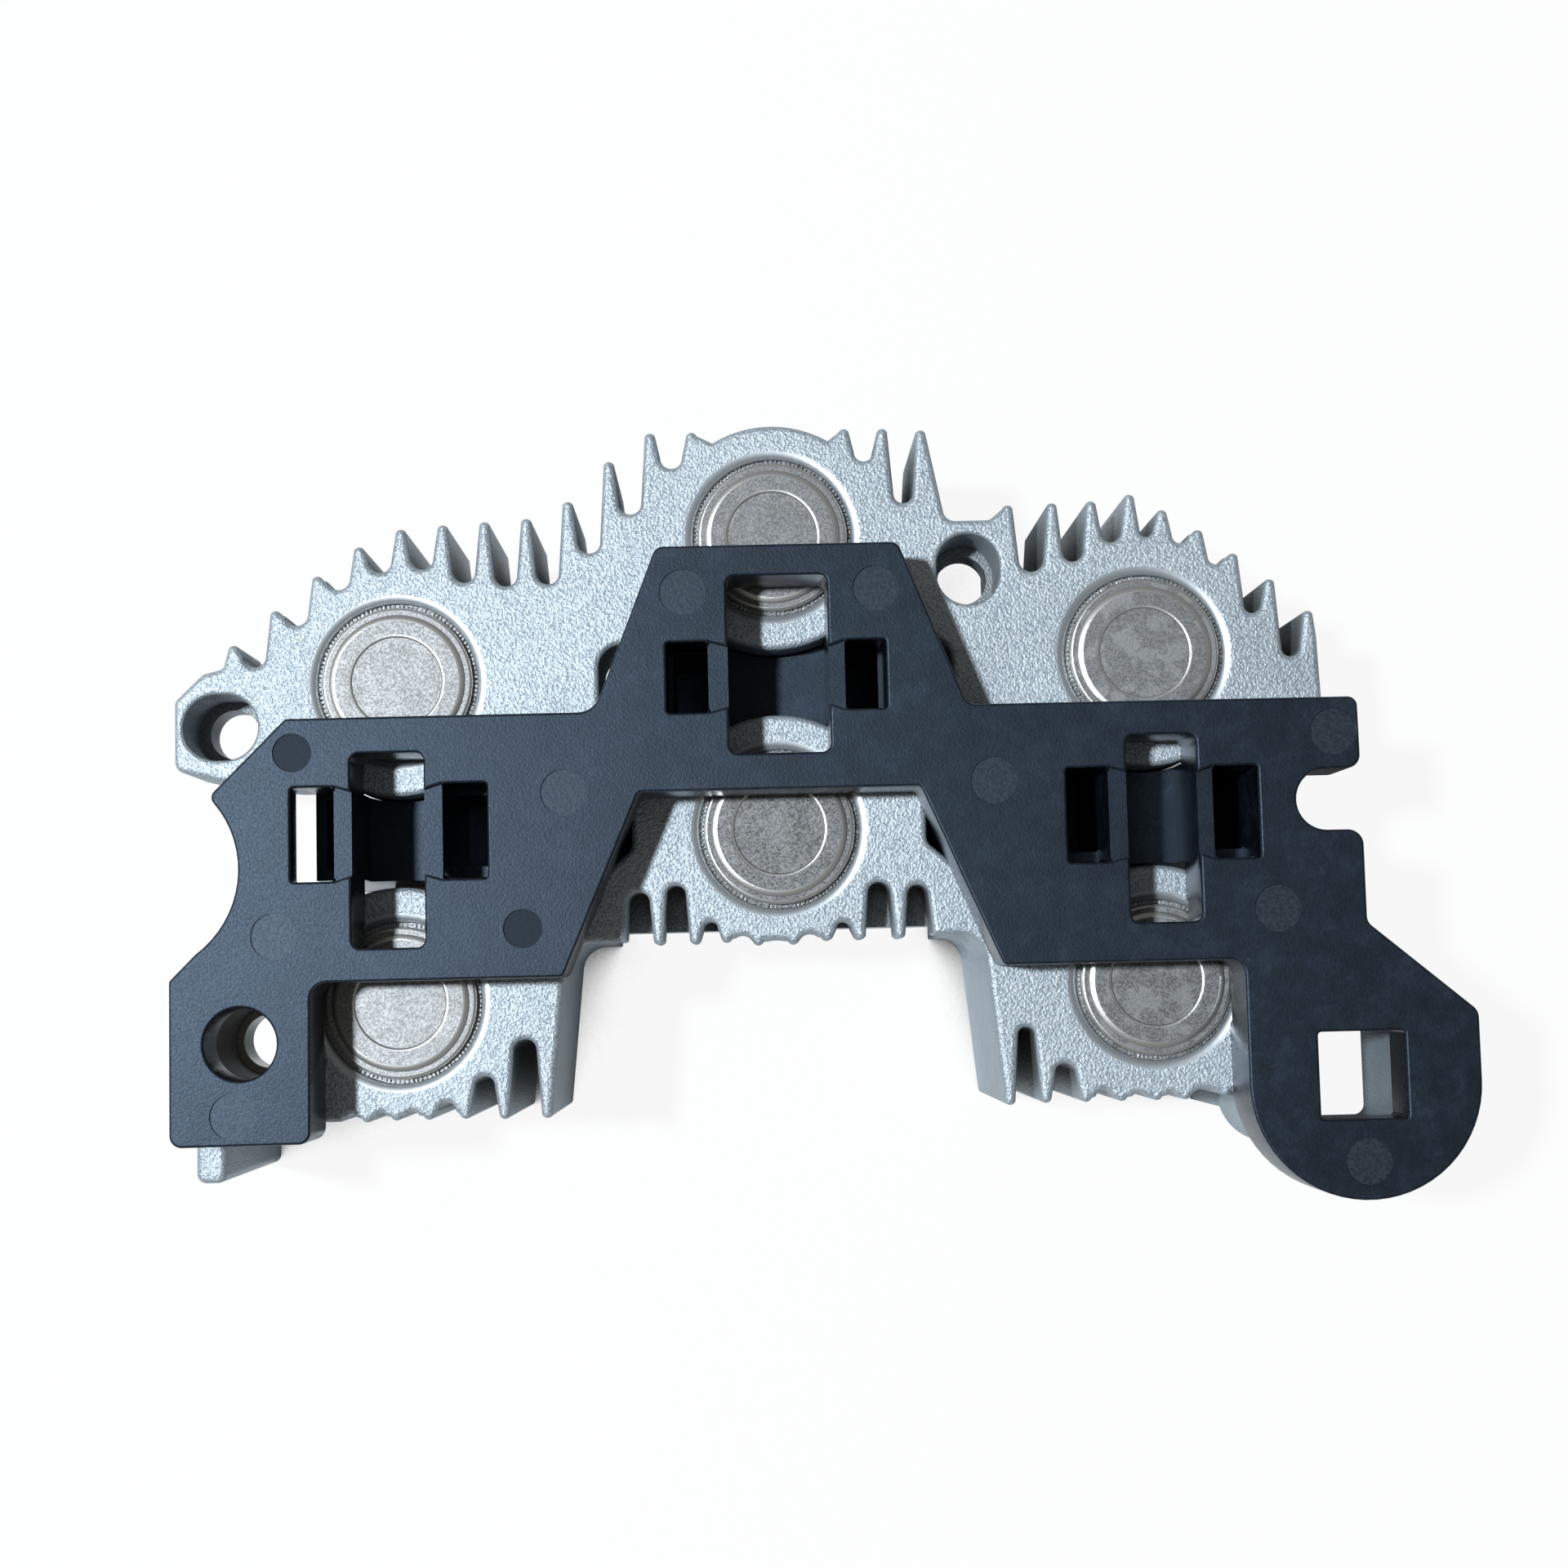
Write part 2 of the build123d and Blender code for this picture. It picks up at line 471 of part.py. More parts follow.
# Diodes: each is a cup pressed into its casting, a die, a lead and the potting round both
for number, (x, y) in enumerate(OUTER_DIODES + INNER_DIODES, 1):
    with BuildPart() as cup:
        with BuildSketch(Plane.XZ):
            with BuildLine():
                Polyline(
                    (0, BASE_Z - MARK_DEPTH), (DISC_R, BASE_Z - MARK_DEPTH), (DISC_R, BASE_Z),
                    (RIM_R, BASE_Z), (RIM_R + RIM_BEVEL, RIM_Z),
                    (CUP_R - CUP_BEVEL, RIM_Z), (CUP_R, RIM_Z - CUP_BEVEL),
                    (CUP_R, BASE_Z - CUP_HEIGHT), (CUP_R - CUP_WALL, BASE_Z - CUP_HEIGHT),
                    (CUP_R - CUP_WALL, BASE_Z - CUP_BASE), (0, BASE_Z - CUP_BASE), close=True,
                )
            make_face()
        revolve(axis=Axis.Z)
    with BuildPart() as die:
        with BuildSketch(Plane.XY.offset(DIE_Z)):
            Rectangle(DIE_SIDE, DIE_SIDE)
        extrude(amount=DIE_HEIGHT)
    with BuildPart() as lead:
        with BuildSketch(Plane.XY.offset(DIE_Z)):
            Circle(HEAD_R)
        extrude(amount=-HEAD_HEIGHT)
        with BuildSketch(Plane.XY.offset(DIE_Z)):
            Circle(LEAD_R)
        extrude(amount=STRIP_Z - LEAD_STICK_OUT - DIE_Z)
    with BuildPart() as potting:
        with BuildSketch(Plane.XY.offset(BASE_Z - CUP_BASE)):
            Circle(CUP_R - CUP_WALL)
        extrude(amount=-POTTING_HEIGHT)
        add(die.part, mode=Mode.SUBTRACT)
        add(lead.part, mode=Mode.SUBTRACT)
    for piece, name in ((cup, "cup"), (die, "die"), (lead, "lead"), (potting, "potting")):
        finish(piece.part.moved(Location((x, y, 0))), f"diode_{name}_{number}")

# Strips: one for each phase, with an eye round the lead of its upper and its lower diode
strips = []
for phase, x in enumerate(PHASE_X):
    with BuildPart() as strip:
        with BuildSketch(Plane.XY.offset(STRIP_Z)):
            with Locations((x, (OUTER_Y[phase] + INNER_Y[phase]) / 2)):
                Rectangle(STRIP_WIDTH, OUTER_Y[phase] - INNER_Y[phase])
            with Locations((x, OUTER_Y[phase]), (x, INNER_Y[phase])):
                Circle(EYE_R)
                Circle(LEAD_R + LEAD_GAP, mode=Mode.SUBTRACT)
        extrude(amount=STRIP_HEIGHT)
    strips.append(strip.part)
    finish(strip.part, f"phase_strip_{phase + 1}")

# Terminal block: a shell over the gap, with a tower through the gap at each phase
with BuildPart() as terminal_block:
    with BuildSketch(Plane.XY.offset(FACE_Z)) as front:
        with BuildLine():
            block_outline()
        make_face()
        fillet(front.vertices().sort_by_distance((*NOTCH_TOP, FACE_Z))[0], NOTCH_ROUND)
    extrude(amount=BLOCK_RISE)
    with BuildSketch(Plane.XY.offset(FACE_Z)):
        with BuildLine():
            block_outline()
        make_face()
        offset(amount=-SKIRT, kind=Kind.INTERSECTION)
        for left, right, low, high in BIG_WINDOWS:
            frame = (left - WINDOW_WALL, right + WINDOW_WALL, low - WINDOW_WALL, high + WINDOW_WALL)
            window(frame, WINDOW_CORNER, Mode.SUBTRACT)
        with Locations(LUG):
            Circle(LUG_R, mode=Mode.SUBTRACT)
        with Locations(LOWER_BORE):
            Circle(BUSH_FLANGE_R + SKIRT, mode=Mode.SUBTRACT)
        with Locations(*PEGS):
            Circle(PEG_BOSS_R, mode=Mode.SUBTRACT)
    extrude(amount=BLOCK_RISE - BLOCK_WALL, mode=Mode.SUBTRACT)
    for phase, x in enumerate(PHASE_X):
        left, right = TOWER_X[phase]
        low, high = TOWER_Y[phase]
        with BuildSketch():
            with Locations(((left + right) / 2, (low + high) / 2)):
                Rectangle(right - left, high - low)
            with Locations((x, OUTER_Y[phase]), (x, INNER_Y[phase])):
                Circle(LOBE_R + TOWER_GAP, mode=Mode.SUBTRACT)
        extrude(amount=ROOF_Z)
        with BuildSketch(Plane.XY.offset(TOWER_FLOOR)):
            window(BIG_WINDOWS[phase], WINDOW_CORNER)
        extrude(amount=FRONT_Z - TOWER_FLOOR, mode=Mode.SUBTRACT)
        for box in SMALL_WINDOWS[phase]:
            with BuildSketch(Plane.XY.offset(POCKET_FLOOR)):
                window(pocket_box(phase, box), SLOT_CORNER)
            extrude(amount=FRONT_Z - POCKET_FLOOR, mode=Mode.SUBTRACT)
            with BuildSketch(Plane.XY.offset(FACE_Z)):
                window(box, SLOT_CORNER)
            extrude(amount=BLOCK_RISE, mode=Mode.SUBTRACT)
    for side, tongue_x in ((-1, LEFT_TONGUE[1]), (1, RIGHT_TONGUE[0])):
        near = PHASE_X[1] + side * (NECK + RIB_CLEAR)
        far = tongue_x - side * RIB_CLEAR
        top, bend, low = RIB_Y
        post = (near + side * RIB_POST_IN, far)
        with BuildSketch(Plane.XY.offset(RIB_LEVELS[0])):
            with BuildLine():
                Polyline((near, top), (near, bend), (far, low), (far, top), close=True)
            make_face()
        extrude(amount=RIB_LEVELS[1] - RIB_LEVELS[0])
        with BuildSketch(Plane.XY.offset(RIB_LEVELS[0])):
            with Locations((sum(post) / 2, (top + RIB_POST_Y) / 2)):
                Rectangle(abs(far - post[0]), top - RIB_POST_Y)
        extrude(amount=ROOF_Z - RIB_LEVELS[0])
    with BuildSketch(Plane.XY.offset(FACE_Z)):
        with Locations(*PEGS):
            Circle(PEG_R)
    extrude(amount=-PEG_LENGTH)
    with Locations(*[(x, y, FACE_Z + DIODE_CLEAR / 2) for x, y in OUTER_DIODES + INNER_DIODES]):
        Cylinder(MOUTH_R + MOUTH_CLEAR, DIODE_CLEAR, mode=Mode.SUBTRACT)
    with BuildSketch(Plane.XY.offset(FRONT_Z)):
        with Locations(LOWER_BORE):
            Circle(BUSH_BORE_R)
        with Locations(SQUARE):
            RectangleRounded(SQUARE_BLOCK, SQUARE_BLOCK, SLOT_CORNER)
    extrude(amount=-BLOCK_RISE, mode=Mode.SUBTRACT)
    with BuildSketch(Plane.XY.offset(FACE_Z)):
        with Locations(LOWER_BORE):
            Circle(BUSH_FLANGE_R + PRESS_GAP)
    extrude(amount=BUSH_FLANGE, mode=Mode.SUBTRACT)
    with BuildSketch(Plane.XY.offset(FACE_Z)):
        with Locations(LUG):
            Circle(BOSS_R + PRESS_GAP)
    extrude(amount=BOSS_RISE, mode=Mode.SUBTRACT)
    with BuildSketch(Plane.XY.offset(FRONT_Z)):
        with Locations(*WIDE_PEGS, *PLAIN_MARKS):
            Circle(MARK_R)
        with Locations(*SLIM_PEGS):
            Circle(SLIM_MARK_R)
    extrude(amount=-SINK_DEPTH, mode=Mode.SUBTRACT)
    for big, (before, after) in zip(BIG_WINDOWS, SMALL_WINDOWS):
        with BuildSketch(Plane.XY.offset(FRONT_Z)):
            for near, far, low, high in ((before[1], big[0], *before[2:]), (after[0], big[1], *after[2:])):
                bar = ((near, low), (far, low + BAR_TAPER), (far, high - BAR_TAPER), (near, high))
                with BuildLine():
                    Polyline(*bar, close=True)
                make_face()
        extrude(amount=-BAR_RECESS, mode=Mode.SUBTRACT)
    for phase in range(len(PHASE_X)):
        add(strips[phase], mode=Mode.SUBTRACT)
finish(terminal_block.part, "terminal_block")

# Lower fixing hole: an insulating bush in the casting and a steel sleeve that takes the screw's load
with BuildPart() as insulating_bush:
    with BuildSketch(Plane.XY.offset(SEAT_Z)):
        with Locations(LOWER_BORE):
            Circle(BUSH_R)
    extrude(amount=PLATE)
    with BuildSketch(Plane.XY.offset(FACE_Z)):
        with Locations(LOWER_BORE):
            Circle(BUSH_FLANGE_R)
    extrude(amount=BUSH_FLANGE)
    with Locations((*LOWER_BORE, FACE_Z + BUSH_FLANGE)):
        Hole(BUSH_BORE_R, PLATE + BUSH_FLANGE)
finish(insulating_bush.part, "insulating_bush")

with BuildPart() as screw_sleeve:
    with BuildSketch(Plane.XY.offset(SEAT_Z)):
        with Locations(LOWER_BORE):
            Circle(BUSH_BORE_R - PRESS_GAP)
            Circle(SLEEVE_BORE_R, mode=Mode.SUBTRACT)
    extrude(amount=SLEEVE_HEIGHT)
finish(screw_sleeve.part, "screw_sleeve")
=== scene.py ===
import json
import math

import bmesh
import bpy
import numpy as np
from mathutils import Euler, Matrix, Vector
from mathutils.geometry import delaunay_2d_cdt


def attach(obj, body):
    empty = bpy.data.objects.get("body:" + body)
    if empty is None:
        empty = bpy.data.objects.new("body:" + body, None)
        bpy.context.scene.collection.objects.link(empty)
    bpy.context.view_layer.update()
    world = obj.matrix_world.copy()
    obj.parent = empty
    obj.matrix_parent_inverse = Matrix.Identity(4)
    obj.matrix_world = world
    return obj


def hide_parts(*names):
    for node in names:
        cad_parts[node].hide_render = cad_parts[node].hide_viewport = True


MM = 0.001

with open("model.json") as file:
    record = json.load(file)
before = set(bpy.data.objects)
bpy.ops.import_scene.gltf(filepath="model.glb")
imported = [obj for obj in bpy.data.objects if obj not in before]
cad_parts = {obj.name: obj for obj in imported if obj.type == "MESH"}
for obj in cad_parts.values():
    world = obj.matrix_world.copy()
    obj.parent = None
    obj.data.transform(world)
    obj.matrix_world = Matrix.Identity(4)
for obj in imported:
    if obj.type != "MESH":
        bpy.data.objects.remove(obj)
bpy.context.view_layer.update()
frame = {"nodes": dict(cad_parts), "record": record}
nodes = frame["nodes"]
slot_of = {s["node"]: s["material_slot"] for s in frame["record"]["subparts"]}
DIODES = range(1, 7)


def middle_of(name):
    """Plan position of a node's middle, in mm."""
    box = [Vector(corner) for corner in nodes[name].bound_box]
    return tuple(sum(corner[axis] for corner in box) / len(box) / MM for axis in (0, 1))


# Small helpers for the finishes
def new_finish(name):
    finish = bpy.data.materials.new(name)
    finish.use_nodes = True
    tree = finish.node_tree
    shader = next(n for n in tree.nodes if n.type == "BSDF_PRINCIPLED")
    return finish, tree, shader


def add(tree, kind, **settings):
    """New node; settings that start with set_ are its own, the others are its sockets'."""
    node = tree.nodes.new(kind)
    for key, value in settings.items():
        if key.startswith("set_"):
            setattr(node, key[4:], value)
        else:
            node.inputs[key.replace("_", " ")].default_value = value
    return node


def feed(tree, socket, value):
    """Links a socket, or sets it to a number or a colour."""
    if isinstance(value, bpy.types.NodeSocket):
        tree.links.new(value, socket)
    else:
        socket.default_value = value if isinstance(value, (int, float)) else (*value, 1)


def object_coordinates(tree):
    return add(tree, "ShaderNodeTexCoord").outputs["Object"]


def height_of(tree, vector):
    split = tree.nodes.new("ShaderNodeSeparateXYZ")
    tree.links.new(vector, split.inputs["Vector"])
    return split.outputs["Z"]


def upward(tree):
    """How far the surface looks up: 1 when level, 0 on walls."""
    return height_of(tree, add(tree, "ShaderNodeNewGeometry").outputs["Normal"])


def noise(tree, place, size_mm, detail=2.0, roughness=0.5):
    texture = add(tree, "ShaderNodeTexNoise", Scale=1 / (size_mm * MM), Detail=detail, Roughness=roughness)
    tree.links.new(place, texture.inputs["Vector"])
    return texture.outputs["Fac"]


def ramp(tree, value, stops):
    node = tree.nodes.new("ShaderNodeValToRGB")
    band = node.color_ramp
    while len(band.elements) < len(stops):
        band.elements.new(0.5)
    for element, (position, colour) in zip(band.elements, stops):
        element.position = position
        element.color = (*colour, 1)
    tree.links.new(value, node.inputs["Fac"])
    return node.outputs["Color"]


def grey(value):
    return (value, value, value)


FIRST_COLOUR, SECOND_COLOUR, MIXED_COLOUR = 6, 7, 2     # colour sockets of a mix node


def blend(tree, factor, first, second, mode="MIX"):
    node = tree.nodes.new("ShaderNodeMix")
    node.data_type = "RGBA"
    node.blend_type = mode
    feed(tree, node.inputs["Factor"], factor)
    feed(tree, node.inputs[FIRST_COLOUR], first)
    feed(tree, node.inputs[SECOND_COLOUR], second)
    return node.outputs[MIXED_COLOUR]


def maths(tree, operation, first, second=0.0):
    node = add(tree, "ShaderNodeMath", set_operation=operation)
    feed(tree, node.inputs[0], first)
    feed(tree, node.inputs[1], second)
    return node.outputs["Value"]


def between(tree, value, low, high):
    node = add(tree, "ShaderNodeMapRange", From_Min=low, From_Max=high)
    node.interpolation_type = "SMOOTHSTEP"
    tree.links.new(value, node.inputs["Value"])
    return node.outputs["Result"]


def openness(tree, reach_mm, own_piece):
    """1 in the open and towards 0 in narrow gaps."""
    gap = add(tree, "ShaderNodeAmbientOcclusion", set_samples=8, set_only_local=own_piece)
    gap.inputs["Distance"].default_value = reach_mm * MM
    return gap.outputs["AO"]


def relief(tree, shader, height, depth_mm, strength=1.0):
    bump = add(tree, "ShaderNodeBump", Strength=strength, Distance=depth_mm * MM)
    tree.links.new(height, bump.inputs["Height"])
    tree.links.new(bump.outputs["Normal"], shader.inputs["Normal"])


FRONT_LOOK = (0.55, 0.85)    # how level a face is where it begins to count as front and fully does


def faces_front(tree):
    """1 on faces that look out of the press side, 0 on walls."""
    return between(tree, maths(tree, "ABSOLUTE", upward(tree)), *FRONT_LOOK)


def distance_to(tree, place, middles_mm):
    """Distance in plan to the nearest of the middles."""
    flatten = add(tree, "ShaderNodeVectorMath", set_operation="MULTIPLY")
    tree.links.new(place, flatten.inputs[0])
    flatten.inputs[1].default_value = (1, 1, 0)
    least = None
    for x, y in middles_mm:
        away = add(tree, "ShaderNodeVectorMath", set_operation="DISTANCE")
        tree.links.new(flatten.outputs["Vector"], away.inputs[0])
        away.inputs[1].default_value = (x * MM, y * MM, 0)
        value = away.outputs["Value"]
        least = value if least is None else maths(tree, "MINIMUM", least, value)
    return least


# Castings: blasted fronts, smoother walls, a pressed ring round each diode, and painted shade that darkens
# the colour between the fins
PRESSED_MM = (7.56, 7.42)     # radii where the pressed ring begins and is complete
# how far the painted shade between the fins and in other narrow gaps reaches
CREVICE_SHADE_REACH_MM = 5.0


def cast_aluminium():
    finish, tree, shader = new_finish("cast_aluminium")
    place = object_coordinates(tree)
    front = faces_front(tree)
    speck = noise(tree, place, 0.21, 1.2, 0.5)
    cloud = noise(tree, place, 9.0, 2.0)
    specks = [(0.34, (0.34, 0.40, 0.46)), (0.50, (0.50, 0.56, 0.61)), (0.64, (0.55, 0.61, 0.66))]
    blasted = ramp(tree, speck, specks)
    wall = ramp(tree, noise(tree, place, 1.6, 3.0), [(0.3, (0.36, 0.42, 0.47)), (0.7, (0.41, 0.47, 0.52))])
    bores = [middle_of(f"diode_cup_{number}") for number in DIODES]
    begins, complete = (radius * MM for radius in PRESSED_MM)
    pressed = between(tree, distance_to(tree, place, bores), begins, complete)
    bare = blend(tree, pressed, blend(tree, front, wall, blasted), (0.54, 0.58, 0.62))
    shade = ramp(tree, cloud, [(0.3, grey(0.88)), (0.7, grey(1.0))])
    clouded = blend(tree, 1.0, bare, shade, "MULTIPLY")
    # painted shade: the colour darkens to a warm dark grey in narrow gaps and between the fins
    crevice_shade = ramp(tree, openness(tree, CREVICE_SHADE_REACH_MM, True), [(0.10, (0.22, 0.20, 0.17)), (0.75, grey(1.0))])
    tree.links.new(blend(tree, 1.0, clouded, crevice_shade, "MULTIPLY"), shader.inputs["Base Color"])
    satin = ramp(tree, front, [(0.0, grey(0.45)), (1.0, grey(0.52))])
    tree.links.new(blend(tree, pressed, satin, grey(0.40)), shader.inputs["Roughness"])
    metal = ramp(tree, front, [(0.0, grey(0.25)), (1.0, grey(0.55))])
    tree.links.new(blend(tree, pressed, metal, grey(0.75)), shader.inputs["Metallic"])
    relief(tree, shader, blend(tree, pressed, speck, grey(0.5)), 0.10)
    return finish


# Terminal block: satin black moulding with dust, scuffs and round moulding marks
MARK_LEVELS_MM = (30.15, 30.33)                  # the marks' floors lie between these heights
DULL_MARKS_MM = ((-42.6, 5.2), (-23.9, -9.6))    # middles of two marks that are duller than the rest
DULL_RADIUS_MM = 2.0


def black_plastic():
    finish, tree, shader = new_finish("black_plastic")
    place = object_coordinates(tree)
    height = height_of(tree, place)
    low, high = (level * MM for level in MARK_LEVELS_MM)
    above = maths(tree, "GREATER_THAN", height, low)
    mark = maths(tree, "MULTIPLY", above, maths(tree, "LESS_THAN", height, high))
    sanded = maths(tree, "GREATER_THAN", distance_to(tree, place, DULL_MARKS_MM), DULL_RADIUS_MM * MM)
    dull = maths(tree, "MULTIPLY", mark, maths(tree, "SUBTRACT", 1.0, sanded))
    cloud = noise(tree, place, 7.0, 3.0)
    clean = ramp(tree, cloud, [(0.3, (0.004, 0.006, 0.010)), (0.7, (0.008, 0.011, 0.017))])
    dust = noise(tree, place, 2.4, 7.0, 0.8)
    dusty = ramp(tree, dust, [(0.36, grey(0.4)), (0.5, grey(1.0)), (0.64, grey(2.2))])
    scuff = between(tree, noise(tree, place, 1.1, 5.0, 0.75), 0.66, 0.80)
    dark = blend(tree, 1.0, clean, dusty, "MULTIPLY")
    scuffed = blend(tree, maths(tree, "MULTIPLY", scuff, 0.5), dark, (0.10, 0.11, 0.12))
    sand = noise(tree, place, 0.3, 2.0)
    sandy = ramp(tree, sand, [(0.4, (0.012, 0.015, 0.020)), (0.62, (0.026, 0.030, 0.037))])
    marked = blend(tree, sanded, (0.001, 0.001, 0.002), sandy)
    tree.links.new(blend(tree, mark, scuffed, marked), shader.inputs["Base Color"])
    shader.inputs["Specular IOR Level"].default_value = 0.52
    shader.inputs["Specular Tint"].default_value = (0.58, 0.76, 1.0, 1)
    grain = noise(tree, place, 0.22, 3.0, 0.6)
    satin = ramp(tree, grain, [(0.3, grey(0.42)), (0.7, grey(0.50))])
    front = blend(tree, dull, satin, grey(0.62))
    tree.links.new(blend(tree, faces_front(tree), grey(0.24), front), shader.inputs["Roughness"])
    relief(tree, shader, grain, 0.03, 0.7)
    return finish


# Diodes: each one's brightness, partly painted sheen that makes the two on the left (1 and 4) lighter, how
# sandy it looks and how strong its smudges are
DIODE_LOOKS = ((0.39, 0.45, 0.0), (0.27, 0.40, 0.1), (0.285, 0.35, 0.4),
               (0.395, 0.40, 0.0), (0.24, 0.55, 0.15), (0.27, 0.45, 0.4))
LEVEL_LOOK = (0.984, 0.9985)    # how far a surface looks up where its satin begins and is complete


def nickel_plate(number, tone_and_sheen, sand, stains):
    finish, tree, shader = new_finish(f"nickel_plate_{number}")
    place = object_coordinates(tree)
    smudge = noise(tree, place, 2.0, 5.0, 0.65)
    grain = noise(tree, place, 0.19, 2.0, 0.6)
    flat = between(tree, upward(tree), *LEVEL_LOOK)
    # the plate's tone holds painted sheen: the diodes on the left are given a lighter plate
    plate = (0.955 * tone_and_sheen, 0.97 * tone_and_sheen, 0.985 * tone_and_sheen)
    specks = [(0.38, grey(1 - sand)), (0.5, grey(1 - 0.4 * sand)), (0.66, grey(1 + 0.3 * sand))]
    speckled = blend(tree, 1.0, plate, ramp(tree, grain, specks), "MULTIPLY")
    blotch = maths(tree, "MULTIPLY", between(tree, smudge, 0.50, 0.58), stains)
    disc = blend(tree, blotch, speckled, tuple(1.6 * c for c in plate))
    tree.links.new(blend(tree, flat, (0.62, 0.62, 0.60), disc), shader.inputs["Base Color"])
    satin = ramp(tree, smudge, [(0.3, grey(0.60)), (0.7, grey(0.54))])
    tree.links.new(blend(tree, flat, grey(0.34), satin), shader.inputs["Roughness"])
    shader.inputs["Metallic"].default_value = 0.85
    relief(tree, shader, grain, 0.02, 0.6)
    return finish


def plain_finish(name, light, dark, roughness, metallic):
    finish, tree, shader = new_finish(name)
    grain = noise(tree, object_coordinates(tree), 0.4, 3.0)
    tree.links.new(ramp(tree, grain, [(0.3, dark), (0.7, light)]), shader.inputs["Base Color"])
    shader.inputs["Roughness"].default_value = roughness
    shader.inputs["Metallic"].default_value = metallic
    relief(tree, shader, grain, 0.03, 0.5)
    return finish


finishes = {
    "cast_aluminium": cast_aluminium(),
    "black_plastic": black_plastic(),
    "grey_plastic": plain_finish("grey_plastic", (0.19, 0.185, 0.165), (0.15, 0.145, 0.13), 0.55, 0.0),
    "steel": plain_finish("steel", (0.48, 0.47, 0.44), (0.36, 0.35, 0.33), 0.35, 1.0),
    # copper far darker than bare copper: painted shade for the strips that show through the dark gaps beside
    # the towers
    "copper": plain_finish("copper", (0.28, 0.18, 0.14), (0.20, 0.13, 0.10), 0.45, 1.0),
    "silicon": plain_finish("silicon", (0.16, 0.17, 0.20), (0.12, 0.13, 0.15), 0.2, 0.6),
    "tinned_copper": plain_finish("tinned_copper", (0.72, 0.70, 0.66), (0.58, 0.57, 0.54), 0.35, 1.0),
    "potting": plain_finish("potting", (0.05, 0.05, 0.05), (0.03, 0.03, 0.03), 0.4, 0.0),
}
finish_of = {name: finishes[slot] for name, slot in slot_of.items() if slot in finishes}
for number, looks in zip(DIODES, DIODE_LOOKS):
    finish_of[f"diode_cup_{number}"] = nickel_plate(number, *looks)
for name, node in nodes.items():
    node.data.materials.clear()
    node.data.materials.append(finish_of[name])
    for face in node.data.polygons:
        face.material_index = 0


def new_piece(name, mesh):
    piece = bpy.data.objects.new(name, mesh)
    bpy.context.scene.collection.objects.link(piece)
    return piece


def take_place(piece, name):
    """The finished piece takes the place of its CAD node."""
    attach(piece, "root")
    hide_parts(name)


# Castings and block with their front edges rounded, as they left the mould
CASTING_FRONT_MM = 23.4
BLOCK_FRONT_MM = 30.4
SAME_PLACE = 0.001 * MM      # points closer than this are one
SAME_LEVEL = 0.005 * MM      # and those within this of the front lie in it
SHALLOW_MM = 0.3             # an edge over a shallower wall stays sharp
WIDE_MM = 12                 # outlines wider than this are rounded more
WIDE_ROUND_MM = 0.5
SMALL_ROUND_MM = 0.35
BLOCK_ROUND_MM = 0.22
MOUTH_MM = 7.1               # radius of a diode bore's mouth
MOUTH_ROUND_MM = 0.95        # its wide round edge
MOUTH_FLAT = 0.5             # and how flat that is
LIP_MM = 0.35                # how far that reaches into the mouth
LIP_ROWS = (0, 0.3, 0.55, 0.75, 0.9, 1)     # rows of points over that reach, as shares of it
ROUND_ROWS = (1.0, 0.7, 0.42, 0.2, 0.06)    # rows of points along an edge, as shares of its radius
ROW_STEP_MM = 0.45                          # spacing of the points in a row
FAN = (0, 0.25, 0.5, 0.75, 1)               # and of those round a corner
CLEAR_SHARE = 0.93                          # how clear of other edges a row's points must be
CELL_SHARE = 0.2                            # one point to a cell of this share of the least radius
SOFT_DEG = 38


def casting_radius(span_mm, depth_mm):
    """Rounding of a casting's outline or hole, from its span and the depth of the wall below."""
    if depth_mm < SHALLOW_MM:
        return 0
    return WIDE_ROUND_MM if span_mm > WIDE_MM else SMALL_ROUND_MM


def block_radius(span_mm, depth_mm):
    return BLOCK_ROUND_MM if depth_mm > SHALLOW_MM else 0


def distances(points, starts, ends):
    """Distance of each point to each edge, all in plan."""
    along = ends - starts
    length2 = np.maximum((along**2).sum(1), 1e-18)
    offset = points[:, None, :] - starts[None]
    share = np.clip((offset * along).sum(2) / length2, 0, 1)
    return np.linalg.norm(offset - share[..., None] * along, axis=2)


def nearest(points, starts, ends):
    return distances(points, starts, ends).min(1)


def inside(points, starts, ends):
    """Whether each point lies within the outline and outside its holes."""
    x, y = points[:, 0, None], points[:, 1, None]
    x0, y0, x1, y1 = starts[:, 0], starts[:, 1], ends[:, 0], ends[:, 1]
    crosses = (y0 > y) != (y1 > y)
    with np.errstate(divide="ignore", invalid="ignore"):
        left = x < (x1 - x0) * (y - y0) / (y1 - y0) + x0
    return ((crosses & left).sum(1) % 2) == 1


def in_batches(work, points, starts, ends, size=400):
    return np.concatenate([work(points[n:n + size], starts, ends) for n in range(0, len(points), size)])


def quarter_round(away):
    """Drop of a round edge as a share of its radius, from the distance to the edge as a share of it."""
    return 1 - np.sqrt(np.maximum(2 * away - away**2, 0))


def front_outline(shape, level):
    """Front faces, the points and edges of their outline, and the depth of the wall below each edge."""
    front = [f for f in shape.faces if all(abs(v.co.z - level) < SAME_LEVEL for v in f.verts)]
    in_front = set(front)
    rim, number, pairs, wall_depth = [], {}, [], []
    for face in front:
        for loop in face.loops:
            walls = [f for f in loop.edge.link_faces if f not in in_front]
            if not walls:
                continue
            ends = (loop.vert, loop.link_loop_next.vert)
            for vert in ends:
                if vert not in number:
                    number[vert] = len(rim)
                    rim.append(vert)
            pairs.append((number[ends[0]], number[ends[1]]))
            wall_depth.append(level - min(v.co.z for v in walls[0].verts))
    return front, rim, pairs, wall_depth


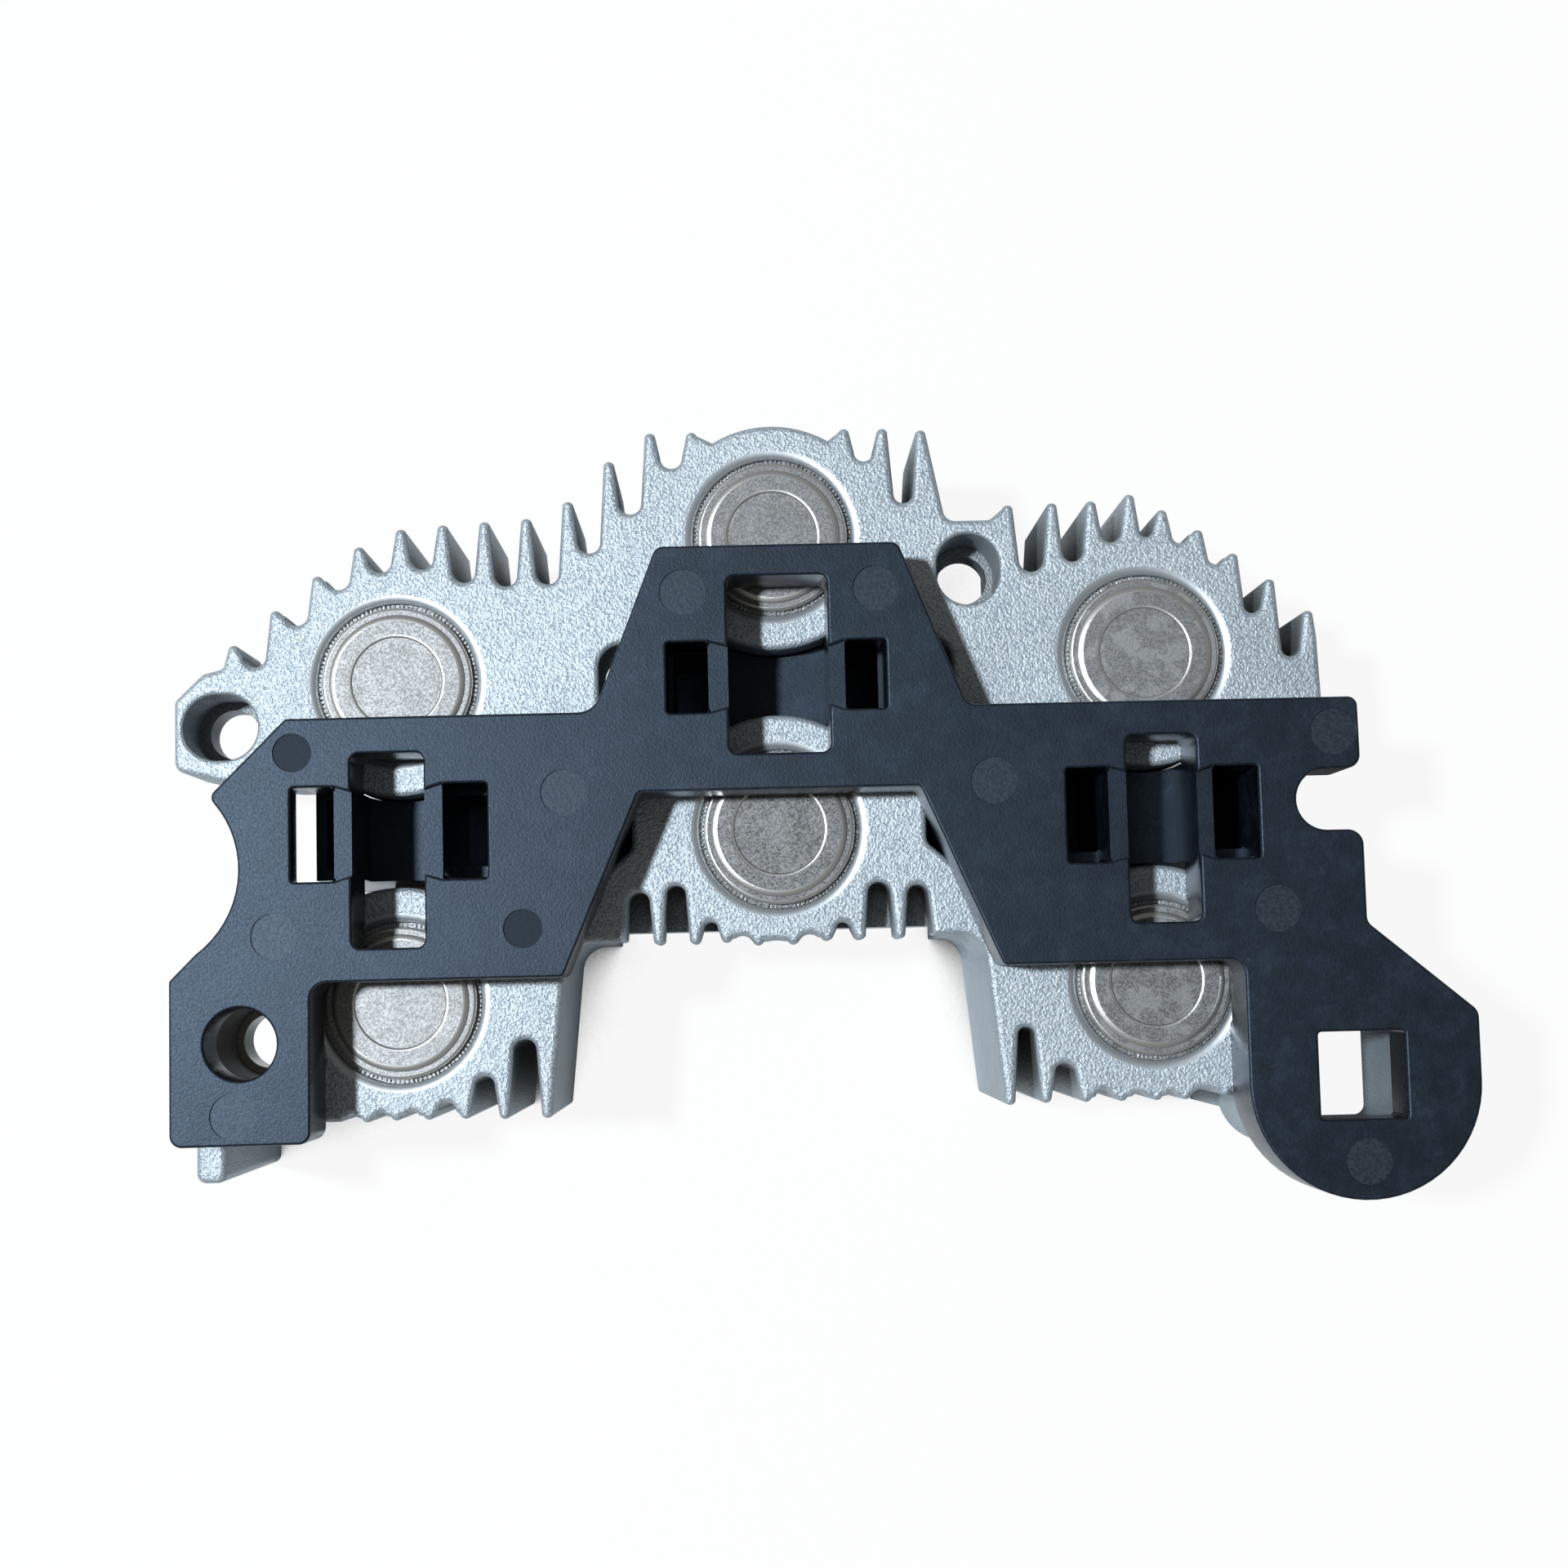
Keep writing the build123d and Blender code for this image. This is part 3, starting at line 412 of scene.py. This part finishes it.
def edge_loops(pairs):
    """Edges of each closed loop of the outline."""
    follows = {a: n for n, (a, _) in enumerate(pairs)}
    loops, done = [], set()
    for start in range(len(pairs)):
        loop, at = [], start
        while at is not None and at not in done:
            done.add(at)
            loop.append(at)
            at = follows.get(pairs[at][1])
        if loop:
            loops.append(loop)
    return loops


def edge_radii(flat, pairs, wall_depth, radius_of_loop):
    """Radius of each edge, its reach into a bore's mouth, and the way into the bore at its points."""
    first = np.array(pairs)[:, 0]
    radius, reach_in, way_in = np.zeros(len(pairs)), np.zeros(len(pairs)), {}
    for loop in edge_loops(pairs):
        around = flat[first[loop]]
        span_mm = np.ptp(around, axis=0).max() / MM
        radius[loop] = radius_of_loop(span_mm, min(wall_depth[n] for n in loop) / MM) * MM
        if abs(span_mm - 2 * MOUTH_MM) < 0.1:
            radius[loop], reach_in[loop] = (MOUTH_ROUND_MM - LIP_MM) * MM, LIP_MM * MM
            middle = (around.max(0) + around.min(0)) / 2
            for n in first[loop]:
                way_in[n] = (middle - flat[n]) / np.linalg.norm(middle - flat[n])
    return radius, reach_in, way_in


def corner_directions(last, normal):
    """Ways from a corner into the face: a fan where the outline turns back, else the mitre."""
    if last[0] * normal[1] - last[1] * normal[0] < -0.1:
        fan = [last + share * (normal - last) for share in FAN]
        return [toward / np.linalg.norm(toward) for toward in fan]
    if last @ normal > -0.8:
        return [(last + normal) / (1 + last @ normal)]
    return []


def round_edge_points(pairs, starts, ends, radius):
    """Points in rows along the outline, closer together towards the edge."""
    along = ends - starts
    length = np.linalg.norm(along, axis=1)
    normal = np.stack([-along[:, 1], along[:, 0]], axis=1) / length[:, None]
    before = {b: n for n, (_, b) in enumerate(pairs)}
    cell_size = radius[radius > 0].min() * CELL_SHARE
    points, cells = [], set()
    for row in ROUND_ROWS:
        found = []
        for n in np.flatnonzero(radius):
            reach = row * radius[n]
            steps = max(1, math.ceil(length[n] / (ROW_STEP_MM * MM)))
            for step in range(steps):
                found.append((*(starts[n] + (step + 0.5) / steps * along[n] + reach * normal[n]), reach))
            for toward in corner_directions(normal[before[pairs[n][0]]], normal[n]):
                found.append((*(starts[n] + reach * toward), reach))
        places, reach = np.split(np.array(found), [2], axis=1)
        clear = in_batches(nearest, places, starts, ends) > CLEAR_SHARE * reach[:, 0]
        for x, y in places[in_batches(inside, places, starts, ends) & clear]:
            cell = (round(x / cell_size), round(y / cell_size))
            if cell not in cells:
                cells.add(cell)
                points.append((x, y))
    return points


def lip_strip(shape, vert, place, toward, level):
    """Points of a mouth's round edge from its old radius inward; the last one is the wall's own."""
    strip = []
    for part in LIP_ROWS:
        inward = part * LIP_MM
        drop = quarter_round((LIP_MM - inward) / MOUTH_ROUND_MM) * MOUTH_ROUND_MM * MOUTH_FLAT
        point = (place[0] + toward[0] * inward * MM, place[1] + toward[1] * inward * MM, level - drop * MM)
        strip.append(shape.verts.new(point) if part < 1 else vert)
    vert.co = point
    return strip


def round_over(name, level_mm, radius_of_loop):
    """Copy of a node whose front face falls off round its edges."""
    level = level_mm * MM
    shape = bmesh.new()
    shape.from_mesh(nodes[name].data)
    bmesh.ops.remove_doubles(shape, verts=shape.verts, dist=SAME_PLACE)
    front, rim, pairs, wall_depth = front_outline(shape, level)
    flat = np.array([v.co[:2] for v in rim])
    starts, ends = (flat[list(side)] for side in zip(*pairs))
    radius, reach_in, way_in = edge_radii(flat, pairs, wall_depth, radius_of_loop)
    points = np.concatenate([flat, round_edge_points(pairs, starts, ends, radius)])
    result = delaunay_2d_cdt([Vector(p) for p in points], pairs, [], 0, 1e-9)
    plan, triangles, sources = np.array([tuple(v) for v in result[0]]), result[2], result[3]
    kept = in_batches(inside, np.array([plan[list(t)].mean(0) for t in triangles]), starts, ends)
    reach = np.maximum(radius + reach_in, 1e-9)
    depth = np.where(reach_in > 0, MOUTH_FLAT, 1) * reach

    def drop_at(points, starts, ends):
        away = np.minimum((distances(points, starts, ends) + reach_in) / reach, 1)
        return (quarter_round(away) * depth).max(1)

    drop = in_batches(drop_at, plan, starts, ends)
    bmesh.ops.delete(shape, geom=front, context="FACES_ONLY")
    made, strips = [], {}
    for n, (x, y) in enumerate(plan):
        source = next((k for k in sources[n] if k < len(rim)), None)
        if source is None:
            vert = shape.verts.new((x, y, level - drop[n]))
        elif source in way_in:
            strips[source] = lip_strip(shape, rim[source], (x, y), way_in[source], level)
            vert = strips[source][0]
        else:
            vert = rim[source]
            vert.co.z = level - drop[n]
        made.append(vert)
    for triangle, keep in zip(triangles, kept):
        corners = [made[k] for k in triangle]
        if keep and len(set(corners)) == 3:
            shape.faces.new(corners)
    for a, b in pairs:
        if a in strips and b in strips:
            for upper_a, lower_a, upper_b, lower_b in zip(strips[a], strips[a][1:], strips[b], strips[b][1:]):
                shape.faces.new((upper_b, upper_a, lower_a, lower_b))
    bmesh.ops.delete(shape, geom=[e for e in shape.edges if not e.link_faces], context="EDGES")
    mesh = bpy.data.meshes.new(f"{name}_rounded")
    shape.normal_update()
    shape.to_mesh(mesh)
    shape.free()
    mesh.shade_smooth()
    mesh.set_sharp_from_angle(angle=math.radians(SOFT_DEG))
    for face in mesh.polygons:
        heights = [mesh.vertices[v].co.z for v in face.vertices]
        face.use_smooth = max(heights) - min(heights) > 1e-7
    mesh.materials.append(finish_of[name])
    take_place(new_piece(f"{name}_rounded", mesh), name)


round_over("negative_heat_sink", CASTING_FRONT_MM, casting_radius)
round_over("positive_heat_sink", CASTING_FRONT_MM, casting_radius)
round_over("terminal_block", BLOCK_FRONT_MM, block_radius)


# Diodes: turned bases with their stepped rims, and the serrations by which they are pressed in
BASE_MM = 23.8
CUP_MM = ((0.0, -0.12), (3.78, -0.12), (3.80, -0.09), (3.83, -0.06), (3.88, -0.032), (3.95, -0.013),
          (4.03, -0.003), (4.12, 0.0), (5.22, 0.0), (5.28, -0.005), (5.66, -0.085), (5.70, -0.12),
          (5.73, -0.17), (5.75, -0.25), (6.12, -0.25), (6.20, -0.262), (6.27, -0.30), (6.33, -0.36),
          (6.38, -0.47), (6.40, -0.62), (6.40, -8.6), (5.30, -8.6), (5.30, -2.9), (0.0, -2.9))
ROUND_STEPS = 144
CUP_SOFT_DEG = 40
RIDGES = 108
RIDGE_RING_MM = 6.57                 # radius of the circle on which the ridges stand
RIDGE_MM = (0.30, 0.25, 0.75)        # out, round and up
RIDGE_BELOW_MM = 1.3                 # from the base down to the ridges' middle
RIDGE_SCALES = ((0.7, 0.6, 0.75), (1.2, 1.3, 1.15))    # least and most


def turned_mesh(name, profile_mm, centre_mm):
    """Solid of revolution round a vertical axis, from the middle of its top to the middle of its floor."""
    x, y, z = centre_mm
    spots = [(x, y, z + profile_mm[0][1])]
    for radius, height in profile_mm[1:-1]:
        for step in range(ROUND_STEPS):
            turn = math.tau * step / ROUND_STEPS
            spots.append((x + radius * math.cos(turn), y + radius * math.sin(turn), z + height))
    spots.append((x, y, z + profile_mm[-1][1]))
    faces, flat = [], []
    rings = len(profile_mm) - 2
    for step in range(ROUND_STEPS):
        after = (step + 1) % ROUND_STEPS
        faces.append((0, 1 + step, 1 + after))
        flat.append(True)
        for ring in range(rings - 1):
            near, far = 1 + ring * ROUND_STEPS, 1 + (ring + 1) * ROUND_STEPS
            faces.append((near + step, far + step, far + after, near + after))
            flat.append(profile_mm[ring + 1][1] == profile_mm[ring + 2][1])
        last = 1 + (rings - 1) * ROUND_STEPS
        faces.append((last + step, len(spots) - 1, last + after))
        flat.append(True)
    mesh = bpy.data.meshes.new(name)
    mesh.from_pydata([tuple(v * MM for v in spot) for spot in spots], [], faces)
    mesh.shade_smooth()
    mesh.set_sharp_from_angle(angle=math.radians(CUP_SOFT_DEG))
    for face, level in zip(mesh.polygons, flat):
        face.use_smooth = not level
    return mesh


def serrations():
    """Node group that sets short upright ridges on a circle and joins them to the piece."""
    group = bpy.data.node_groups.new("serrations", "GeometryNodeTree")
    group.interface.new_socket("Geometry", in_out="INPUT", socket_type="NodeSocketGeometry")
    group.interface.new_socket("Geometry", in_out="OUTPUT", socket_type="NodeSocketGeometry")
    for label, kind in (("Count", "Int"), ("Radius", "Float"), ("Ridge", "Vector"), ("Centre", "Vector"),
                        ("Seed", "Int"), ("Finish", "Material")):
        group.interface.new_socket(label, in_out="INPUT", socket_type=f"NodeSocket{kind}")
    given = group.nodes.new("NodeGroupInput")
    result = group.nodes.new("NodeGroupOutput")
    circle = group.nodes.new("GeometryNodeMeshCircle")
    ridge = group.nodes.new("GeometryNodeMeshCube")
    place = group.nodes.new("GeometryNodeInputPosition")
    turn = group.nodes.new("FunctionNodeAlignRotationToVector")
    turn.axis = "X"
    spread = group.nodes.new("GeometryNodeInstanceOnPoints")
    vary = group.nodes.new("FunctionNodeRandomValue")
    vary.data_type = "FLOAT_VECTOR"
    vary.inputs[0].default_value, vary.inputs[1].default_value = RIDGE_SCALES
    move = group.nodes.new("GeometryNodeTransform")
    join = group.nodes.new("GeometryNodeJoinGeometry")
    realize = group.nodes.new("GeometryNodeRealizeInstances")
    cover = group.nodes.new("GeometryNodeSetMaterial")
    for start, end in (
        (given.outputs["Count"], circle.inputs["Vertices"]),
        (given.outputs["Radius"], circle.inputs["Radius"]),
        (given.outputs["Ridge"], ridge.inputs["Size"]),
        (given.outputs["Seed"], vary.inputs["Seed"]),
        (circle.outputs["Mesh"], spread.inputs["Points"]),
        (ridge.outputs["Mesh"], spread.inputs["Instance"]),
        (place.outputs["Position"], turn.inputs["Vector"]),
        (turn.outputs["Rotation"], spread.inputs["Rotation"]),
        (vary.outputs[0], spread.inputs["Scale"]),
        (spread.outputs["Instances"], move.inputs["Geometry"]),
        (given.outputs["Centre"], move.inputs["Translation"]),
        (move.outputs["Geometry"], join.inputs["Geometry"]),
        (given.outputs["Geometry"], join.inputs["Geometry"]),
        (join.outputs["Geometry"], realize.inputs["Geometry"]),
        (realize.outputs["Geometry"], cover.inputs["Geometry"]),
        (given.outputs["Finish"], cover.inputs["Material"]),
        (cover.outputs["Geometry"], result.inputs["Geometry"]),
    ):
        group.links.new(start, end)
    return group


def turned_diode(number, group):
    name = f"diode_cup_{number}"
    x, y = middle_of(name)
    piece = new_piece(f"{name}_turned", turned_mesh(f"{name}_turned", CUP_MM, (x, y, BASE_MM)))
    ridges = piece.modifiers.new("serrations", "NODES")
    ridges.node_group = group
    values = {"Count": RIDGES, "Radius": RIDGE_RING_MM * MM, "Ridge": tuple(v * MM for v in RIDGE_MM),
              "Centre": (x * MM, y * MM, (BASE_MM - RIDGE_BELOW_MM) * MM), "Seed": number,
              "Finish": finish_of[name]}
    for socket in group.interface.items_tree:
        if socket.in_out == "INPUT" and socket.name in values:
            ridges[socket.identifier] = values[socket.name]
    bpy.context.view_layer.update()
    seen = piece.evaluated_get(bpy.context.evaluated_depsgraph_get())
    mesh = bpy.data.meshes.new_from_object(seen)
    piece.modifiers.clear()
    piece.data = mesh
    take_place(piece, name)


ridge_group = serrations()
for number in DIODES:
    turned_diode(number, ridge_group)


# Floor and white surroundings
FLOOR_HALF = 3.0
FLOOR_BELOW = 0.0002
FLOOR_WHITE = 0.92        # share of plain white in the floor that is seen, the rest being lit
SHADE_REACH_MM = 16.0     # how near the part darkens the floor under it
FILL = 0.16


def pale_floor():
    finish, tree, shader = new_finish("pale_floor")
    shader.inputs["Base Color"].default_value = (0.8, 0.8, 0.8, 1)
    shader.inputs["Roughness"].default_value = 0.9
    glow = add(tree, "ShaderNodeEmission")
    rays = tree.nodes.new("ShaderNodeLightPath")
    mix = tree.nodes.new("ShaderNodeMixShader")
    output = next(n for n in tree.nodes if n.type == "OUTPUT_MATERIAL")
    shade = ramp(tree, openness(tree, SHADE_REACH_MM, False), [(0.30, grey(0.02)), (0.48, grey(1.0))])
    tree.links.new(shade, glow.inputs["Strength"])
    tree.links.new(maths(tree, "MULTIPLY", rays.outputs["Is Camera Ray"], FLOOR_WHITE), mix.inputs["Fac"])
    tree.links.new(shader.outputs["BSDF"], mix.inputs[1])
    tree.links.new(glow.outputs["Emission"], mix.inputs[2])
    tree.links.new(mix.outputs["Shader"], output.inputs["Surface"])
    return finish


corners = [(x * FLOOR_HALF, y * FLOOR_HALF, -FLOOR_BELOW) for x, y in ((-1, -1), (1, -1), (1, 1), (-1, 1))]
floor_mesh = bpy.data.meshes.new("floor")
floor_mesh.from_pydata(corners, [], [(0, 1, 2, 3)])
floor_mesh.materials.append(pale_floor())
floor = new_piece("floor", floor_mesh)

world = bpy.data.worlds.new("studio")
bpy.context.scene.world = world
world.use_nodes = True
sky = world.node_tree
background = next(n for n in sky.nodes if n.type == "BACKGROUND")
background.inputs["Color"].default_value = (1.0, 0.97, 0.90, 1)
rays = sky.nodes.new("ShaderNodeLightPath")
level = maths(sky, "MAXIMUM", rays.outputs["Is Camera Ray"], FILL)
sky.links.new(level, background.inputs["Strength"])

# One round lamp, high up on the left
LAMP_PLACE = Vector((-340, 46, 790)) * MM
LAMP_AIM = Vector((0, 0, 20)) * MM
light = bpy.data.lights.new("key", "AREA")
light.shape = "DISK"
light.size = 60 * MM
light.energy = 7.5
light.color = (0.88, 0.95, 1.0)
lamp = new_piece("key", light)
lamp.location = LAMP_PLACE
lamp.rotation_euler = (LAMP_PLACE - LAMP_AIM).to_track_quat("Z", "Y").to_euler()

# Camera at the photograph's angle, over the middle of the inner casting's arch
SENSOR = 36
FOCAL_SHARE = 2900 / 1920     # focal length as a share of the frame's width
camera_data = bpy.data.cameras.new("camera")
camera_data.sensor_width = SENSOR
camera_data.lens = SENSOR * FOCAL_SHARE
camera_data.clip_start = 0.01
camera = new_piece("camera", camera_data)
camera.location = Vector((-5.81, -14.53, 223.4)) * MM
camera.rotation_euler = Euler([math.radians(a) for a in (4.829, -0.886, -1.4)], "XYZ")
bpy.context.scene.camera = camera

bpy.context.scene.view_settings.view_transform = "Standard"
